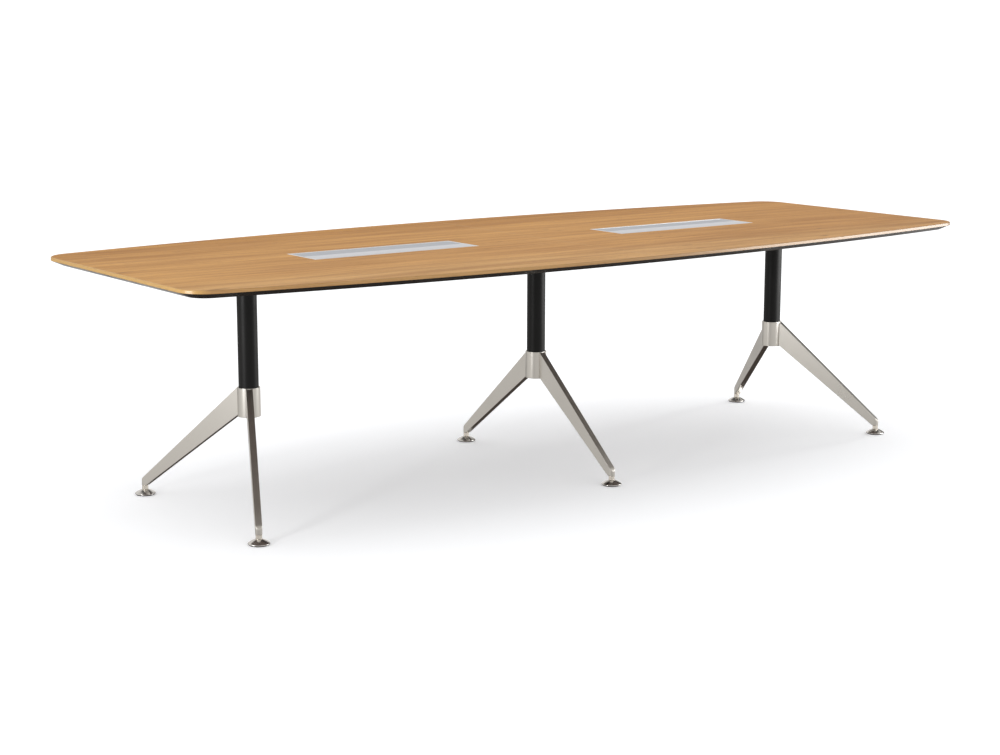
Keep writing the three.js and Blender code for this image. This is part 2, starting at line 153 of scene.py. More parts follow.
def front_edge(inset):
    """The front edge of the right half, from the joint to the end: the bowed side and a corner arc. The bow
    is the circle through the middle width and the end widths, and the corner is the circle that touches the
    bow and the end. An inset shortens both radii, and a small share of it draws the edge back from the
    joint. Points stand at every edge of a hole, so that holes can be cut."""
    bow = HALF_WIDTH - HALF_END_WIDTH
    bow_radius = (HALF_LENGTH ** 2 + bow ** 2) / (2 * bow)
    bow_centre = HALF_WIDTH - bow_radius
    corner_x = HALF_LENGTH - CORNER_RADIUS
    corner_y = bow_centre + np.sqrt((bow_radius - CORNER_RADIUS) ** 2 - corner_x ** 2)
    meeting = np.arcsin(corner_x / (bow_radius - CORNER_RADIUS))
    cuts = [BOX_X + sign * half for half in (POCKET_HALF[0], TRAY_HOLE_HALF[0]) for sign in (-1, 1)]
    along = np.unique(np.r_[np.linspace(0, bow_radius * np.sin(meeting), 41), cuts])
    side = np.arcsin(along / bow_radius)
    corner = np.linspace(meeting, np.pi / 2, 25)[1:]
    inner_bow, inner_corner = bow_radius - inset, CORNER_RADIUS - inset
    x = np.r_[inner_bow * np.sin(side), corner_x + inner_corner * np.sin(corner)]
    y = np.r_[bow_centre + inner_bow * np.cos(side), corner_y + inner_corner * np.cos(corner)]
    x[0] = inset * JOINT_SHARE
    return x, -y


def board_sheets(profile, hole_half, sign):
    """Half of the top with a square hole for a cable box. The profile, pairs of inset and height from the
    upper face to the lower one, is carried round the half's plan. Each face is a strip on each side of the
    hole, and the hole has four walls. Faces take the first finish, and the edge and the walls the second.
    The left half is the right one mirrored."""
    half_x, half_y = hole_half
    plain_x = front_edge(0)[0]
    on_side = (plain_x > 0) & (plain_x < HALF_LENGTH - CORNER_RADIUS - 2 * MM)
    loops, faces = [], []
    for inset, z in profile:
        x, y = front_edge(inset)
        plan_x = np.r_[x, x[-1], x[-1], x[::-1], x[0], x[0], x[0]]
        plan_y = np.r_[y, -half_y, half_y, -y[::-1], half_y, -half_y, y[0]]
        loops.append(np.stack([plan_x, plan_y, 0 * plan_x + z], -1))
    ring = np.stack(loops)
    run = np.cumsum(np.r_[0, np.linalg.norm(np.diff(ring[0], axis=0), axis=1)])
    drop = np.cumsum(np.r_[0, np.linalg.norm(np.diff(ring[:, 1], axis=0), axis=1)])
    sheets = [(ring, np.stack(np.meshgrid(run, drop), -1), 1)]
    for inset, z in (profile[0], profile[-1]):
        x, y = front_edge(inset)
        inner_x = np.where(on_side, plain_x, x)
        lines = (x, y), (inner_x, 0 * x - half_y), (inner_x, 0 * x + half_y), (x, -y)
        faces.append(np.stack([np.stack([a, b, 0 * a + z], -1) for a, b in lines]))
    first, last = [np.argmin(np.abs(plain_x - BOX_X - s * half_x)) for s in (-1, 1)]
    for rows in faces:
        strips = rows[:2], rows[2:], rows[1:3, :first + 1], rows[1:3, last:]
        sheets += [(strip, strip[..., :2], 0) for strip in strips]
    upper, lower = faces
    for row in (1, 2):
        wall = np.stack([upper[row, first:last + 1], lower[row, first:last + 1]])
        sheets.append((wall, wall[..., [0, 2]], 1))
    for at in (first, last):
        wall = np.stack([upper[1:3, at], lower[1:3, at]])
        sheets.append((wall, wall[..., [1, 2]], 1))
    return [(points * [sign, 1, 1], uv, number) for points, uv, number in sheets]


def oak(name, light, dark, roughness, along_edge, leaf=0.0):
    """Straight-grained oak under matt lacquer: broad light and dark bands, narrower streaks, growth lines,
    pores and a few pin knots, all drawn out along the grain. The grain follows X on the veneer, and the
    path's own U on the lipping. The leaf number takes the pattern from another part of the log."""
    finish = blank(name)
    if along_edge:
        place = node(finish, "UVMap", {}, uv_map="along")
    else:
        place = node(finish, "TexCoord", {}, output="Object")
    grain = node(finish, "VectorMath", {0: place, 1: (leaf * 1.7, leaf, 0.0)}, operation="ADD")
    # the bands wander by some centimetres over a metre, as the growth of a tree does
    sway = node(finish, "Mapping", {"Vector": grain, "Scale": (0.9, 2.5, 1.0)})
    sway = node(finish, "TexNoise", {"Vector": sway, "Scale": 1.0, "Detail": 2.0})
    sway = node(finish, "MapRange", {"Value": sway, 1: 0.0, 2: 1.0, 3: -0.05, 4: 0.05})
    sway = node(finish, "CombineXYZ", {"Y": sway})
    grain = node(finish, "VectorMath", {0: grain, 1: sway}, operation="ADD")
    layers = []
    # bands of about 110 mm, streaks of 37 mm, narrow streaks of 12 mm and growth lines of 3 mm, in turn
    for scale, low, high in (((0.35, 9, 9), 0.36, 0.64), ((2.0, 27, 27), 0.36, 0.64),
                             ((3.2, 85, 85), 0.32, 0.68), ((2.2, 330, 330), 0.28, 0.72)):
        layer = node(finish, "Mapping", {"Vector": grain, "Scale": scale})
        layer = node(finish, "TexNoise", {"Vector": layer, "Scale": 1.0, "Detail": 2.0, "Roughness": 0.55})
        layers.append(node(finish, "MapRange", {"Value": layer, 1: low, 2: high, 3: 0.0, 4: 1.0}))
    tone, growth_lines = layers[0], layers[-1]
    for share, layer in zip((0.58, 0.3, 0.22), layers[1:]):
        tone = node(finish, "Mix", {0: share, 2: tone, 3: layer}, data_type="FLOAT")
    colour = node(finish, "Mix", {0: tone, 6: srgb(dark), 7: srgb(light)}, output=2, data_type="RGBA")
    if along_edge:
        # the strips on the two ends are painted paler: painted light falling on the ends
        ends = node(finish, "TexCoord", {}, output="Object")
        ends = node(finish, "SeparateXYZ", {0: ends}, output="X")
        ends = node(finish, "Math", {0: ends}, operation="ABSOLUTE")
        ends = node(finish, "MapRange", {"Value": ends, 1: 1.44, 2: 1.485, 3: 0.0, 4: 1.0})
        colour = node(finish, "Mix", {0: ends, 6: colour, 7: srgb("#BA914F")}, output=2, data_type="RGBA")
    else:
        # the colour is multiplied by four casts. A painted sheen makes it paler and pinker towards the
        # front, most of all in a strip along the front edge, and redder and darker towards the back. It is
        # redder and darker still along the back edge, redder towards the right and paler towards the left
        sheen_and_tone_casts = (("Y", -HALF_WIDTH, HALF_WIDTH, (1.03, 1.03, 1.12, 1.0), (0.99, 0.95, 0.84, 1.0)),
                 ("X", -HALF_LENGTH, HALF_LENGTH, (1.06, 1.06, 1.0, 1.0), (0.96, 0.92, 0.84, 1.0)),
                 ("Y", -0.46, -0.3, (1.0, 1.07, 1.26, 1.0), (1.0, 1.0, 1.0, 1.0)),
                 ("Y", 0.3, 0.56, (1.0, 1.0, 1.0, 1.0), (0.89, 0.83, 0.65, 1.0)))
        for axis, start, end, pale, red in sheen_and_tone_casts:
            across = node(finish, "SeparateXYZ", {0: place}, output=axis)
            across = node(finish, "MapRange", {"Value": across, 1: start, 2: end, 3: 0.0, 4: 1.0})
            cast = node(finish, "Mix", {0: across, 6: pale, 7: red}, output=2, data_type="RGBA")
            colour = node(finish, "Mix", {0: 1.0, 6: colour, 7: cast}, output=2, data_type="RGBA",
                          blend_type="MULTIPLY")
    # pores are dashes of 0.3 mm by 12 mm in the wood, drawn 1 mm wide so that they show close up
    pores = node(finish, "Mapping", {"Vector": grain, "Scale": (42, 900, 900)})
    pores = node(finish, "TexNoise", {"Vector": pores, "Scale": 1.0, "Detail": 0.0})
    pores = node(finish, "MapRange", {"Value": pores, 1: 0.64, 2: 0.74, 3: 0.0, 4: 0.4})
    # pin knots are rare dark specks of about 6 mm by 20 mm
    knots = node(finish, "Mapping", {"Vector": grain, "Scale": (9, 30, 30)})
    knots = node(finish, "TexNoise", {"Vector": knots, "Scale": 1.0, "Detail": 1.0})
    knots = node(finish, "MapRange", {"Value": knots, 1: 0.74, 2: 0.80, 3: 0.0, 4: 0.6})
    marks = node(finish, "Math", {0: pores, 1: knots}, operation="MAXIMUM")
    colour = node(finish, "Mix", {0: marks, 6: colour, 7: srgb("#6E4A22")}, output=2, data_type="RGBA")
    if not along_edge:
        # each half is closed at the joint by a pale lipping
        joint = node(finish, "SeparateXYZ", {0: place}, output="X")
        joint = node(finish, "Math", {0: joint}, operation="ABSOLUTE")
        joint = node(finish, "MapRange", {"Value": joint, 1: LIPPING_WIDTH - 0.2 * MM,
                                          2: LIPPING_WIDTH + 0.4 * MM, 3: 0.3, 4: 0.0})
        colour = node(finish, "Mix", {0: joint, 6: colour, 7: srgb("#C9A57B")}, output=2, data_type="RGBA")
    gloss = node(finish, "MapRange", {"Value": growth_lines, 1: 0.0, 2: 1.0,
                                      3: roughness - 0.05, 4: roughness + 0.05})
    relief = node(finish, "Bump", {"Strength": 0.12, "Distance": 0.2 * MM, "Height": growth_lines})
    shader = node(finish, "BsdfPrincipled", {"Base Color": colour, "Roughness": gloss, "Normal": relief,
                                             "Specular IOR Level": 0.7 if along_edge else 0.2})
    node(finish, "OutputMaterial", {"Surface": shader})
    return finish


oak_lipping = oak("solid_oak_lipping_matt_lacquer", "#B0874E", "#8F6838", 0.28, along_edge=True)
oak_veneer = oak("oak_veneer_matt_lacquer", "#D3A15E", "#9A672F", 0.6, along_edge=False, leaf=0.37)
face_profile = [(LIPPING_ROUND * (1 - np.sin(a)), TOP_HEIGHT - LIPPING_ROUND * (1 - np.cos(a)))
                for a in np.linspace(0, np.pi / 2, 7)]
face_profile += [(0.0, GLUE_HEIGHT + LIPPING_ARRIS), (LIPPING_ARRIS, GLUE_HEIGHT)]
HALVES = ("left", -1), ("right", 1)
for side, sign in HALVES:
    sheets = board_sheets(face_profile, POCKET_HALF, sign)
    board = skin(f"{side}_face_board", sheets, [oak_veneer, oak_lipping])
    fit(board, "frame", "oak_veneer", f"{side}_face_board")


# Base boards: 16 mm of dense fibreboard under each half, its edge planed to a long bevel, so that the top
# looks thin. The bevel is sprayed with black satin lacquer, and a brown balancing laminate covers the
# underside.
BEVEL, BASE_ARRIS = 35 * MM, 0.4 * MM
UNDERSIDE = 724 * MM

black_lacquer = blank("black_satin_lacquer")
where = node(black_lacquer, "TexCoord", {}, output="Object")
# sprayed lacquer dries with a faint ripple of about 4 mm, and dust-fine changes of gloss
ripple = node(black_lacquer, "TexNoise", {"Vector": where, "Scale": 260.0, "Detail": 2.0})
cloud = node(black_lacquer, "TexNoise", {"Vector": where, "Scale": 18.0, "Detail": 3.0})
gloss = node(black_lacquer, "MapRange", {"Value": cloud, 1: 0.3, 2: 0.7, 3: 0.17, 4: 0.24})
tint = node(black_lacquer, "Mix", {0: cloud, 6: srgb("#0D0B0A"), 7: srgb("#13110F")},
            output=2, data_type="RGBA")
relief = node(black_lacquer, "Bump", {"Strength": 0.15, "Distance": 0.2 * MM, "Height": ripple})
shader = node(black_lacquer, "BsdfPrincipled",
              {"Base Color": tint, "Roughness": gloss, "IOR": 1.5, "Normal": relief})
node(black_lacquer, "OutputMaterial", {"Surface": shader})
balancing_sheet = blank("brown_balancing_laminate")
where = node(balancing_sheet, "TexCoord", {}, output="Object")
# the paper in the laminate is cloudy over a few centimetres and has fibres of about 2 mm
cloud = node(balancing_sheet, "TexNoise", {"Vector": where, "Scale": 30.0, "Detail": 6.0, "Roughness": 0.65})
tint = node(balancing_sheet, "Mix", {0: cloud, 6: srgb("#574C45"), 7: srgb("#6A5E57")},
            output=2, data_type="RGBA")
gloss = node(balancing_sheet, "MapRange", {"Value": cloud, 1: 0.3, 2: 0.7, 3: 0.55, 4: 0.65})
shader = node(balancing_sheet, "BsdfPrincipled", {"Base Color": tint, "Roughness": gloss})
node(balancing_sheet, "OutputMaterial", {"Surface": shader})
base_profile = [(BASE_ARRIS, GLUE_HEIGHT), (BASE_ARRIS, GLUE_HEIGHT - BASE_ARRIS),
                (BEVEL - 1.6 * MM, UNDERSIDE + 0.5 * MM), (BEVEL - 0.8 * MM, UNDERSIDE + 0.15 * MM),
                (BEVEL, UNDERSIDE)]
for side, sign in HALVES:
    sheets = board_sheets(base_profile, TRAY_HOLE_HALF, sign)
    board = skin(f"{side}_base_board", sheets, [balancing_sheet, black_lacquer], crease=12)
    fit(board, "frame", "black_lacquer", f"{side}_base_board")


# Cable box frames: square aluminium bar, mitred at the corners, brushed along each side and anodised clear.
# A frame drops into its pocket flush with the top, and two ledges at its ends hold up the lids.
FRAME_HALF = 298 * MM, 85 * MM
FRAME_FOOT = 741.5 * MM
RAIL_WIDTH = 10 * MM
LEDGE_TOP, LEDGE_HALF = 746.8 * MM, 60 * MM
LEDGE_X = FRAME_HALF[0] - RAIL_WIDTH - 4 * MM, FRAME_HALF[0] - 5 * MM


def mitred_sheets(profile, half, centre):
    """A profile carried round a rectangle. A pair in it is a distance in from the rectangle and a height.
    The corners are mitred, and the UV map's U runs along each side."""
    inset, z = np.array(profile).T
    rail = np.cumsum(np.r_[0, np.hypot(np.diff(inset), np.diff(z))])
    x, y = half[0] - inset, half[1] - inset
    sheets = []
    corners = (-1, -1), (1, -1), (1, 1), (-1, 1), (-1, -1)
    for start, end in zip(corners, corners[1:]):
        side = np.stack([np.stack([centre + sx * x, sy * y, z], -1) for sx, sy in (start, end)], 1)
        run = side[..., 0] if start[1] == end[1] else side[..., 1]
        sheets.append((side, np.stack([run, np.broadcast_to(rail[:, None], run.shape)], -1), 0))
    return sheets


def padded_box(low, high, rounding):
    """A box with rounded edges: a sphere pulled apart along the three axes, so each point is the corner of
    an inner box plus the rounding times the direction from the sphere's centre. Rows run from pole to
    pole."""
    low, high = np.array(low), np.array(high)
    steps = np.linspace(0, np.pi / 2, 4)
    turn = np.r_[[steps + q * np.pi / 2 for q in range(4)]].ravel()
    turn_x = np.repeat([1, -1, -1, 1], 4)
    turn_y = np.repeat([1, 1, -1, -1], 4)
    rise = np.r_[steps - np.pi / 2, steps]
    rise_z = np.repeat([-1, 1], 4)
    inner, middle = (high - low) / 2 - rounding, (high + low) / 2
    rows = np.stack([
        middle[0] + turn_x * inner[0] + rounding * np.cos(rise)[:, None] * np.cos(turn),
        middle[1] + turn_y * inner[1] + rounding * np.cos(rise)[:, None] * np.sin(turn),
        np.broadcast_to((middle[2] + rise_z * inner[2] + rounding * np.sin(rise))[:, None], (8, 16)),
    ], -1)
    rows = np.concatenate([rows, rows[:, :1]], 1)
    poles = np.broadcast_to([[[*middle[:2], low[2]]], [[*middle[:2], high[2]]]], (2, rows.shape[1], 3))
    rows = np.concatenate([poles[:1], rows, poles[1:]])
    return rows, rows[..., :2], 0


def brushed_metal(name, code, roughness, along):
    """Metal brushed in one direction: hairlines about 0.2 mm wide and 60 mm long change the gloss and the
    tone a little. They are drawn 0.5 mm wide so that they show. They run along X, or along a rail's own
    U."""
    finish = blank(name)
    if along == "rail":
        where = node(finish, "UVMap", {}, uv_map="along")
    else:
        where = node(finish, "TexCoord", {}, output="Object")
    lines = node(finish, "Mapping", {"Vector": where, "Scale": (16, 2000, 2000)})
    lines = node(finish, "TexNoise", {"Vector": lines, "Scale": 1.0, "Detail": 2.0})
    gloss = node(finish, "MapRange", {"Value": lines, 1: 0.3, 2: 0.7,
                                      3: roughness - 0.05, 4: roughness + 0.05})
    pale = tuple(min(1.0, c * 1.06) for c in srgb(code)[:3]) + (1.0,)
    tint = node(finish, "Mix", {0: lines, 6: srgb(code), 7: pale}, output=2, data_type="RGBA")
    relief = node(finish, "Bump", {"Strength": 0.08, "Distance": 0.1 * MM, "Height": lines})
    shader = node(finish, "BsdfPrincipled",
                  {"Base Color": tint, "Metallic": 1.0, "Roughness": gloss, "Normal": relief})
    node(finish, "OutputMaterial", {"Surface": shader})
    return finish


BOXES = ("left", -BOX_X), ("right", BOX_X)
anodised_rail = brushed_metal("clear_anodised_aluminium_rail", "#F6F8FB", 0.34, "rail")
rail_profile = [(0, FRAME_FOOT), (0, TOP_HEIGHT - 0.5 * MM), (0.15 * MM, TOP_HEIGHT - 0.15 * MM),
                (0.5 * MM, TOP_HEIGHT), (RAIL_WIDTH - 0.5 * MM, TOP_HEIGHT),
                (RAIL_WIDTH - 0.15 * MM, TOP_HEIGHT - 0.15 * MM), (RAIL_WIDTH, TOP_HEIGHT - 0.5 * MM),
                (RAIL_WIDTH, FRAME_FOOT), (0, FRAME_FOOT)]
for side, centre in BOXES:
    sheets = mitred_sheets(rail_profile, FRAME_HALF, centre)
    for sign in (-1, 1):
        low, high = sorted(centre + sign * x for x in LEDGE_X)
        ledge = padded_box((low, -LEDGE_HALF, FRAME_FOOT), (high, LEDGE_HALF, LEDGE_TOP), 0.4 * MM)
        sheets.append(ledge)
    rails = skin(f"{side}_cable_box_frame", sheets, [anodised_rail])
    fit(rails, "frame", "anodised_aluminium", f"{side}_box_bezel")


# Cable box trays: 1.5 mm steel sheet folded to an open box with a flange, its corners welded, and powder
# coated black. A tray hangs by its flange under the frame, and cables leave through two slots in its floor.
SHEET = 1.5 * MM
TRAY_FLOOR = 673.5 * MM
TRAY_HALF = 287 * MM, 74 * MM
FLANGE_HALF_X = 297 * MM
FOLD = 3 * MM
SLOT_X, SLOT_HALF = 190 * MM, (55 * MM, 30 * MM)


def powder_coat(name, code, roughness):
    """Black powder coat: a baked polyester film with a fine even orange peel, which breaks the highlights
    into a soft satin. Its grains of about 0.6 mm are drawn at 1.5 mm."""
    finish = blank(name)
    where = node(finish, "TexCoord", {}, output="Object")
    grains = node(finish, "TexNoise", {"Vector": where, "Scale": 700.0, "Detail": 2.0, "Roughness": 0.6})
    patch = node(finish, "TexNoise", {"Vector": where, "Scale": 14.0, "Detail": 2.0})
    gloss = node(finish, "MapRange", {"Value": patch, 1: 0.3, 2: 0.7,
                                      3: roughness - 0.03, 4: roughness + 0.03})
    deep = tuple(c * 0.75 for c in srgb(code)[:3]) + (1.0,)
    tint = node(finish, "Mix", {0: grains, 6: deep, 7: srgb(code)}, output=2, data_type="RGBA")
    relief = node(finish, "Bump", {"Strength": 0.22, "Distance": 0.2 * MM, "Height": grains})
    shader = node(finish, "BsdfPrincipled",
                  {"Base Color": tint, "Roughness": gloss, "Specular IOR Level": 0.25, "Normal": relief})
    node(finish, "OutputMaterial", {"Surface": shader})
    return finish


def tray_sheets(centre):
    """The outer face of the folded sheet. The floor is a grid of cells without the two slots, and a profile
    of fold, wall, fold and flange is carried round the grid's rim."""
    inner_x, inner_y = TRAY_HALF[0] - FOLD, TRAY_HALF[1] - FOLD
    slot_ends = [s * SLOT_X + t * SLOT_HALF[0] for s in (-1, 1) for t in (-1, 1)]
    cuts_x = np.sort(np.r_[-inner_x, inner_x, slot_ends])
    cuts_y = np.array([-inner_y, -SLOT_HALF[1], SLOT_HALF[1], inner_y])
    sheets = []
    for i in range(len(cuts_x) - 1):
        for j in range(3):
            if not (j == 1 and abs(abs(cuts_x[i:i + 2].mean()) - SLOT_X) < MM):
                x, y = np.meshgrid(centre + cuts_x[i:i + 2], cuts_y[j:j + 2], indexing="ij")
                cell = np.stack([x, y, np.full_like(x, TRAY_FLOOR)], -1)
                sheets.append((cell, cell[..., :2], 0))
    fold = np.linspace(0, np.pi / 2, 6)
    spread = np.r_[FOLD * np.sin(fold), FOLD + SHEET * (1 - np.cos(fold)), FLANGE_HALF_X - inner_x]
    height = np.r_[TRAY_FLOOR + FOLD * (1 - np.cos(fold)), GLUE_HEIGHT - SHEET * (1 - np.sin(fold)),
                   GLUE_HEIGHT]
    out_x, out_y = inner_x + spread, inner_y + spread
    for sign in (-1, 1):
        inside = np.broadcast_to(cuts_x[1:-1], (len(spread), 4))
        x = np.concatenate([-out_x[:, None], inside, out_x[:, None]], 1)
        long_wall = np.stack(np.broadcast_arrays(centre + x, sign * out_y[:, None], height[:, None]), -1)
        sheets.append((long_wall, long_wall[..., [0, 2]], 0))
        inside = np.broadcast_to(cuts_y[1:-1], (len(spread), 2))
        y = np.concatenate([-out_y[:, None], inside, out_y[:, None]], 1)
        end_wall = np.stack(np.broadcast_arrays(centre + sign * out_x[:, None], y, height[:, None]), -1)
        sheets.append((end_wall, end_wall[..., [1, 2]], 0))
    return sheets


tray_coat = powder_coat("black_powder_coat_tray", "#1A1A1B", 0.5)
for side, centre in BOXES:
    tray = skin(f"{side}_cable_tray", tray_sheets(centre), [tray_coat], flat=False)
    wall = tray.modifiers.new("sheet", "SOLIDIFY")
    wall.thickness, wall.offset = SHEET, -1
    fit(tray, "frame", "black_powder_coat", f"{side}_box_tray")


# Cable box lids: aluminium extrusions with a rolled barrel along the outer edge, brushed and anodised
# clear. Two lids close over each tray like doors, and a steel rod through the barrel is the hinge of each.
LID_HALF_LENGTH = 287.5 * MM
BARREL_Y, BARREL_Z, BARREL_RADIUS = 71.5 * MM, 747 * MM, 3 * MM
LID_FREE_EDGE, LID_EASE = 1 * MM, 0.6 * MM
ROD_HOLE = 1.56 * MM


def lid_sheets(centre, sign):
    """An extrusion along X. Its outline runs from the free edge over the flat top, round the barrel and
    back under the plate, and both ends are closed by a strip between the outline and the rod's hole."""
    arc = np.linspace(np.pi / 2, 2 * np.pi, 28)
    nose = np.linspace(0, np.pi / 2, 5)
    y = np.r_[-LID_FREE_EDGE - LID_EASE * (1 - np.cos(nose)), -BARREL_Y + BARREL_RADIUS * np.cos(arc),
              -LID_FREE_EDGE - LID_EASE, -LID_FREE_EDGE - LID_EASE * 0.3, -LID_FREE_EDGE, -LID_FREE_EDGE]
    z = np.r_[TOP_HEIGHT - LID_EASE * (1 - np.sin(nose)), BARREL_Z + BARREL_RADIUS * np.sin(arc),
              BARREL_Z, BARREL_Z + LID_EASE * 0.3, BARREL_Z + LID_EASE, TOP_HEIGHT - LID_EASE]
    outline = np.stack([y, z], -1)
    run = np.cumsum(np.r_[0, np.hypot(np.diff(y), np.diff(z))])
    stations = np.array([-LID_HALF_LENGTH, LID_HALF_LENGTH])
    body = np.stack(np.broadcast_arrays(centre + stations[:, None], -sign * y, z), -1)
    sheets = [(body, np.stack(np.broadcast_arrays(stations[:, None], run[None]), -1), 0)]
    hub = np.array([-BARREL_Y, BARREL_Z])
    reach = outline - hub
    hole = hub + ROD_HOLE * reach / np.linalg.norm(reach, axis=1)[:, None]
    strip = np.stack([outline, hole])
    for x in stations:
        flat = np.stack(np.broadcast_arrays(centre + x, -sign * strip[..., 0], strip[..., 1]), -1)
        sheets.append((flat, flat[..., 1:], 0))
    tunnel = np.stack(np.broadcast_arrays(centre + stations[:, None], -sign * hole[:, 0], hole[:, 1]), -1)
    sheets.append((tunnel, tunnel[..., :2], 0))
    return sheets


# the front lids are painted paler and the back lids darker: a painted reflection, as both lids are one finish
PLACES = ("front", -1), ("back", 1)
for side, centre in BOXES:
    for (place, sign), tone in zip(PLACES, ("#ECF0F8", "#C5CBD6")):
        anodised_lid = brushed_metal(f"{side}_{place}_clear_anodised_lid", tone, 0.36, "X")
        lid = skin(f"{side}_{place}_cable_lid", lid_sheets(centre, sign), [anodised_lid])
        fit(lid, f"{side}_{place}_lid", "anodised_aluminium", f"{side}_box_lid_{place}")


# Lid rods: 3 mm drawn steel, zinc plated, pushed through a lid's barrel into the frame at both ends.
# Their ends are chamfered, so that they start in their holes.
ROD_RADIUS, ROD_HALF_LENGTH, ROD_CHAMFER = 1.5 * MM, 293.5 * MM, 0.3 * MM


def turned_sheet(profile, segments, place=(0, 0, 0), lying=False):
    """A lathe-turned shape: pairs of radius and height, turned once round the Z axis, laid down along the X
    axis if it is lying, and moved to its place."""
    radius, z = np.array(profile).T
    turn = np.linspace(0, 2 * np.pi, segments + 1)
    around = radius[:, None] * np.cos(turn), radius[:, None] * np.sin(turn)
    points = np.stack(np.broadcast_arrays(*around, z[:, None]), -1)
    if lying:
        points = points[..., [2, 0, 1]]
    run = np.cumsum(np.r_[0, np.hypot(np.diff(radius), np.diff(z))])
    girth = max(radius) * turn
    return points + np.array(place), np.stack(np.broadcast_arrays(girth[None], run[:, None]), -1), 0


zinc = blank("bright_zinc_plated_steel")
where = node(zinc, "TexCoord", {}, output="Object")
# the plating has crystals of well under a millimetre, drawn at 2 mm, that cloud its shine with a blue cast
cloud = node(zinc, "TexNoise", {"Vector": where, "Scale": 500.0, "Detail": 2.0})
tint = node(zinc, "Mix", {0: cloud, 6: srgb("#B4B8BD"), 7: srgb("#CDD0D3")}, output=2, data_type="RGBA")
gloss = node(zinc, "MapRange", {"Value": cloud, 1: 0.3, 2: 0.7, 3: 0.26, 4: 0.36})
shader = node(zinc, "BsdfPrincipled", {"Base Color": tint, "Metallic": 1.0, "Roughness": gloss})
node(zinc, "OutputMaterial", {"Surface": shader})
rod_profile = [(0, -ROD_HALF_LENGTH), (ROD_RADIUS - ROD_CHAMFER, -ROD_HALF_LENGTH),
               (ROD_RADIUS, ROD_CHAMFER - ROD_HALF_LENGTH), (ROD_RADIUS, ROD_HALF_LENGTH - ROD_CHAMFER),
               (ROD_RADIUS - ROD_CHAMFER, ROD_HALF_LENGTH), (0, ROD_HALF_LENGTH)]
for side, centre in BOXES:
    for place, sign in PLACES:
        sheet = turned_sheet(rod_profile, 16, (centre, sign * BARREL_Y, BARREL_Z), lying=True)
        rod = skin(f"{side}_{place}_lid_rod", [sheet], [zinc])
        fit(rod, "frame", "zinc_steel", f"{side}_box_rod_{place}")


# Top plates: 6 mm steel with rounded corners, welded on the column and powder coated with it.
# Eight wood screws through each plate hold the top down. The weld is a bead of overlapping ripples.
PEDESTALS = ("left", -1072 * MM), ("middle", 0.0), ("right", 1072 * MM)
PLATE_HALF, PLATE_THICKNESS = (120 * MM, 80 * MM), 6 * MM
PLATE_FOOT = UNDERSIDE - PLATE_THICKNESS
COLUMN_RADIUS = 30 * MM


def plate_sheet(x, y, half, thickness):
    """A flat plate under the top with rounded corners: the profile of an eased edge is carried round a
    rectangle whose corners are quarter circles, and closed by a middle point on each face."""
    ease, corner = 0.6 * MM, 10 * MM
    inset = np.array([ease, 0.2 * ease, 0, 0, 0.2 * ease, ease])
    height = UNDERSIDE - np.array([thickness, thickness - 0.2 * ease, thickness - ease, ease, 0.2 * ease, 0])
    turn = np.r_[[np.linspace(0, np.pi / 2, 7) + q * np.pi / 2 for q in range(4)]].ravel()
    sign_x, sign_y = np.repeat([1, -1, -1, 1], 7), np.repeat([1, 1, -1, -1], 7)
    radius = (corner - inset)[:, None]
    ring_x = x + sign_x * (half[0] - corner) + radius * np.cos(turn)
    ring_y = y + sign_y * (half[1] - corner) + radius * np.sin(turn)
    ring = np.stack(np.broadcast_arrays(ring_x, ring_y, height[:, None]), -1)
    ring = np.concatenate([ring, ring[:, :1]], 1)
    middles = np.stack([np.broadcast_to([x, y, z], ring[0].shape) for z in (height[0], height[-1])])
    points = np.concatenate([middles[:1], ring, middles[1:]])
    return points, points[..., :2], 0


def weld_sheet(x):
    """A fillet weld: a round bead, sunk in the corner between column and plate, is carried round the
    column. Its radius ripples between 3.2 and 3.55 mm."""
    around = np.linspace(0, 2 * np.pi, 193)
    across = np.linspace(0, 2 * np.pi, 11)
    size = (3.2 + 0.35 * np.abs(np.sin(around * 30))) * MM
    radius = COLUMN_RADIUS + size * np.cos(across)[:, None]
    points = np.stack([x + radius * np.cos(around), radius * np.sin(around),
                       PLATE_FOOT + size * np.sin(across)[:, None] * 0.95], -1)
    return points, np.stack(np.broadcast_arrays(around[None], across[:, None]), -1), 0


def screw_sheet(x, y, foot):
    """A pan-head screw seen from below: a dome over its radius with a six-lobed drive sunk in its middle,
    and a flat back against the plate."""
    turn = np.linspace(0, 2 * np.pi, 37)
    radius = np.array([0, 1.0, 1.5, 1.9, 2.2, 3.2, 4.2, 4.8, 5.0, 5.0, 0]) * MM
    dome = np.array([2.9, 2.9, 2.88, 2.84, 2.8, 2.5, 1.9, 1.2, 0.6, 0, 0]) * MM
    lobes = (1.7 + 0.28 * np.cos(6 * turn)) * MM
    sunk = np.clip((lobes - radius[:, None]) / (0.25 * MM), 0, 1) * 1.6 * MM
    sunk[-1] = 0
    points = np.stack([x + radius[:, None] * np.cos(turn), y + radius[:, None] * np.sin(turn),
                       foot - (dome[:, None] - sunk)], -1)
    return points, points[..., :2], 0


column_coat = powder_coat("black_powder_coat_pedestal", "#0A0A0A", 0.42)
for side, x in PEDESTALS:
    sheets = [plate_sheet(x, 0, PLATE_HALF, PLATE_THICKNESS), weld_sheet(x)]
    plate = skin(f"{side}_top_plate", sheets, [column_coat])
    fit(plate, "frame", "black_powder_coat", f"{side}_top_plate")
    screws = [screw_sheet(x + dx * MM, dy * MM, PLATE_FOOT)
              for dx in (-104, -52, 52, 104) for dy in (-64, 64)]
    fit(skin(f"{side}_plate_screws", screws, [zinc]), "frame", "zinc_steel")


